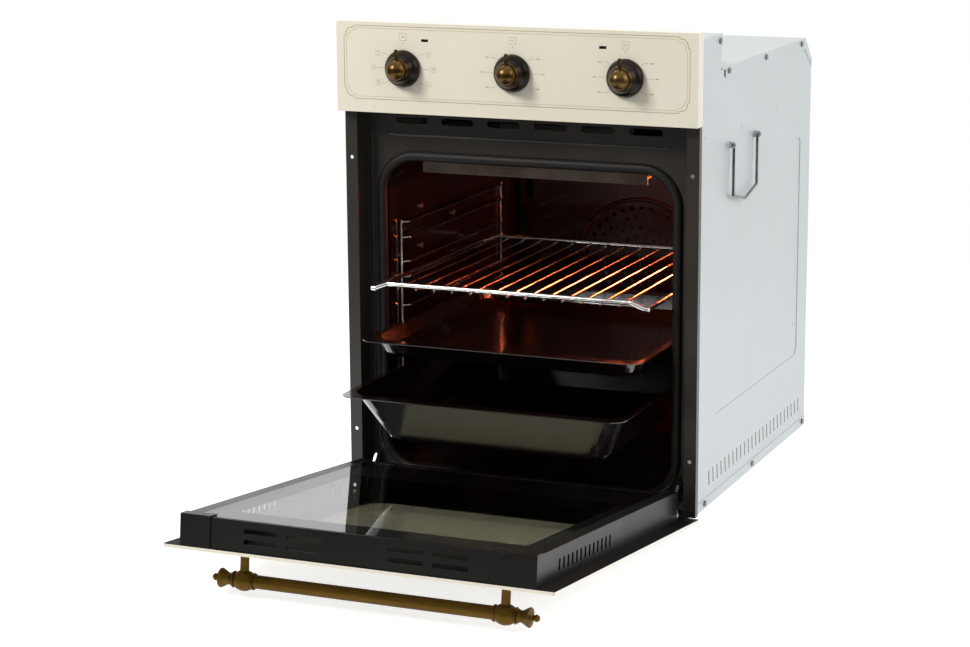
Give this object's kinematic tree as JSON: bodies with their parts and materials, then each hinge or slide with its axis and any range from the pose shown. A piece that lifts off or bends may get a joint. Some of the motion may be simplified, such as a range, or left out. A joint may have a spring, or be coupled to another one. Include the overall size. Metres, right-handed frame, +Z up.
{
  "type": "electric oven",
  "caption": "Built-in electric oven with a drop-down glass door, retro handle, rotary knobs, wire shelf and enamelled trays on wire guides.",
  "frame": {"origin": "centre of the underside of the casing, between the front face of the casing and its rear panel", "axes": "+X to the right and +Y to the rear as seen from the front, +Z up; the door opens towards -Y"},
  "size_m": [0.455, 1.0036, 0.588],
  "materials": {
    "cream_enamel": "gloss stove enamel with a thin gold line print",
    "cream_glass": "tempered glass, colour printed on its inner face",
    "dark_glass": "tempered glass with a black printed border, low-reflection",
    "black_enamel": "satin black enamel",
    "black_trim": "satin black powder coat",
    "oven_enamel": "gloss pyrolysis-brown vitreous enamel",
    "tray_enamel": "gloss dark brown vitreous enamel",
    "galvanised": "galvanised steel sheet, satin",
    "zinc_screw": "zinc-plated",
    "wool": "resin-bonded mineral wool",
    "element_tube": "dark annealed stainless tube",
    "chromed_wire": "chromed wire",
    "fan_steel": "stamped steel",
    "motor_steel": "laminated steel and black lacquer",
    "clear_glass": "clear heat-proof glass",
    "warm_glass": "clear lamp glass, lit",
    "white_ceramic": "unglazed steatite",
    "black_plastic": "moulded thermoset",
    "white_plastic": "moulded thermoset",
    "lens_plastic": "translucent smoked lens, unlit",
    "seal_rubber": "woven and silicone door seal",
    "bronze": "antique bronze finish, brushed and relieved",
    "dark_bronze": "dark bronze finish, satin",
    "brass_cap": "aged brass, polished"
  },
  "bodies": {
    "oven": {"control_panel": "cream_enamel", "front_frame": "black_enamel", "cavity": "oven_enamel", "door_seal": "seal_rubber", "side_panel_left": "galvanised", "side_panel_right": "galvanised", "top_cover": "galvanised", "control_box": "galvanised", "control_lid": "galvanised", "rear_panel": "galvanised", "base_tray": "galvanised", "insulation": "wool", "grill_element": "element_tube", "roof_deflector": "oven_enamel", "bottom_element": "element_tube", "ring_element": "element_tube", "fan_cover": "oven_enamel", "fan_motor": "motor_steel", "lamp_holder": "white_ceramic", "lamp_bulb": "clear_glass", "lamp_glass": "warm_glass", "rack_left": "chromed_wire", "rack_right": "chromed_wire", "rack_bolts": "zinc_screw", "function_switch": "black_plastic", "timer": "white_plastic", "thermostat": "fan_steel", "indicator_lenses": "lens_plastic", "cooling_duct": "galvanised", "blower_housing": "galvanised", "blower_motor": "motor_steel", "terminal_block": "white_plastic", "cable_gland": "black_plastic", "hinge_arms": "zinc_screw", "casing_screws": "zinc_screw", "bail_ears": "galvanised"},
    "door": {"outer_glass": "cream_glass", "inner_glass": "dark_glass", "door_top_trim": "black_trim", "door_end_caps": "black_trim", "door_side_profiles": "black_trim", "door_bottom_rail": "black_trim", "hinge_housings": "zinc_screw", "hinge_pins": "zinc_screw", "handle_bar": "bronze", "handle_brackets": "bronze", "handle_finials": "bronze"},
    "function_control": {"function_knob": "dark_bronze", "function_knob_cap": "brass_cap"},
    "timer_control": {"timer_knob": "dark_bronze", "timer_knob_cap": "brass_cap"},
    "thermostat_control": {"thermostat_knob": "dark_bronze", "thermostat_knob_cap": "brass_cap"},
    "shelf": {"wire_shelf": "chromed_wire"},
    "upper_tray": {"baking_tray": "tray_enamel"},
    "lower_tray": {"deep_tray": "tray_enamel"},
    "left_bail": {"carry_handle_left": "zinc_screw"},
    "right_bail": {"carry_handle_right": "zinc_screw"},
    "oven_fan": {"convection_fan": "fan_steel"},
    "blower": {"blower_rotor": "fan_steel"}
  },
  "joints": [
    {"name": "door_hinge", "type": "hinge", "parent": "oven", "child": "door", "pos_m": [0, -0.2868, 0.017], "axis": [-1, 0, 0], "range_deg": [0, 83.4]},
    {"name": "shelf_slide", "type": "slide", "parent": "oven", "child": "shelf", "axis": [0, 1, 0], "range_m": [0, 0.067]},
    {"name": "baking_tray_slide", "type": "slide", "parent": "oven", "child": "upper_tray", "axis": [0, 1, 0], "range_m": [0, 0.107]},
    {"name": "deep_tray_slide", "type": "slide", "parent": "oven", "child": "lower_tray", "axis": [0, 1, 0], "range_m": [0, 0.165]},
    {"name": "function_knob_turn", "type": "hinge", "parent": "oven", "child": "function_control", "pos_m": [-0.14, -0.2951, 0.534], "axis": [0, 1, 0], "range_deg": [0, 300]},
    {"name": "timer_knob_turn", "type": "hinge", "parent": "oven", "child": "timer_control", "pos_m": [0, -0.2951, 0.534], "axis": [0, 1, 0], "range_deg": [0, 330]},
    {"name": "thermostat_knob_turn", "type": "hinge", "parent": "oven", "child": "thermostat_control", "pos_m": [0.14, -0.2951, 0.534], "axis": [0, 1, 0], "range_deg": [0, 270]},
    {"name": "left_bail_swing", "type": "hinge", "parent": "oven", "child": "left_bail", "pos_m": [-0.2125, -0.0596, 0.435], "axis": [0, 1, 0], "range_deg": [0, 180]},
    {"name": "right_bail_swing", "type": "hinge", "parent": "oven", "child": "right_bail", "pos_m": [0.2125, -0.0596, 0.435], "axis": [0, -1, 0], "range_deg": [0, 180]},
    {"name": "oven_fan_spin", "type": "hinge", "parent": "oven", "child": "oven_fan", "pos_m": [0, 0.1949, 0.223], "axis": [0, 1, 0], "continuous": true},
    {"name": "blower_spin", "type": "hinge", "parent": "oven", "child": "blower", "pos_m": [0, -0.0901, 0.47], "axis": [1, 0, 0], "continuous": true}
  ],
  "couplings": [
    {"joint": "shelf_slide", "follows": "door_hinge", "m_per_rad": 0.04602},
    {"joint": "baking_tray_slide", "follows": "door_hinge", "m_per_rad": 0.0735},
    {"joint": "deep_tray_slide", "follows": "door_hinge", "m_per_rad": 0.11335}
  ]
}
